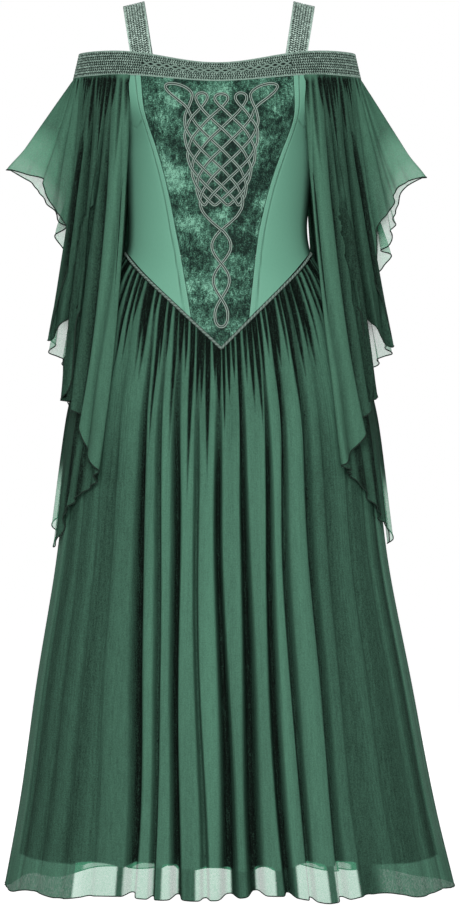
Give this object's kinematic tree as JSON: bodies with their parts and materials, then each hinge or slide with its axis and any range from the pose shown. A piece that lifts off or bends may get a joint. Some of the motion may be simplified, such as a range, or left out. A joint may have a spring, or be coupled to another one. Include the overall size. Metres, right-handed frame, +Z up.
{
  "type": "medieval elf gown",
  "caption": "Long hollow off-the-shoulder medieval gown: velvet and satin bodice with V waist, gathered sheer skirt over a lining, cascade sleeves, braided neckband and straps",
  "frame": {"origin": "midway between the tops of the two shoulder straps, where the wearer's shoulders hold the gown up", "axes": "+Z is up, -Y is the front of the gown, +X is to the right of a viewer who looks at the front"},
  "size_m": [0.7168, 0.4495, 1.4179],
  "materials": {
    "trim": "braided gimp in grey green",
    "velvet": "crushed velvet, patchy light and dark green",
    "satin": "matt satin in light green",
    "chiffon": "sheer crinkled chiffon in deep green",
    "lining": "opaque smooth lining in deep green",
    "cord": "twisted grey green cord"
  },
  "bodies": {
    "root": {"neckband_front": "trim", "neckband_back": "trim", "strap_left": "trim", "strap_right": "trim", "bodice_front_center": "velvet", "bodice_side_front_left": "satin", "bodice_side_front_right": "satin", "bodice_back_left": "satin", "bodice_back_right": "satin", "waist_piping_front": "cord", "waist_piping_back": "cord", "skirt_front": "chiffon", "skirt_back": "chiffon", "lining_front": "lining", "lining_back": "lining", "sleeve_left": "chiffon", "sleeve_right": "chiffon", "knot_cord": "cord"}
  },
  "joints": []
}
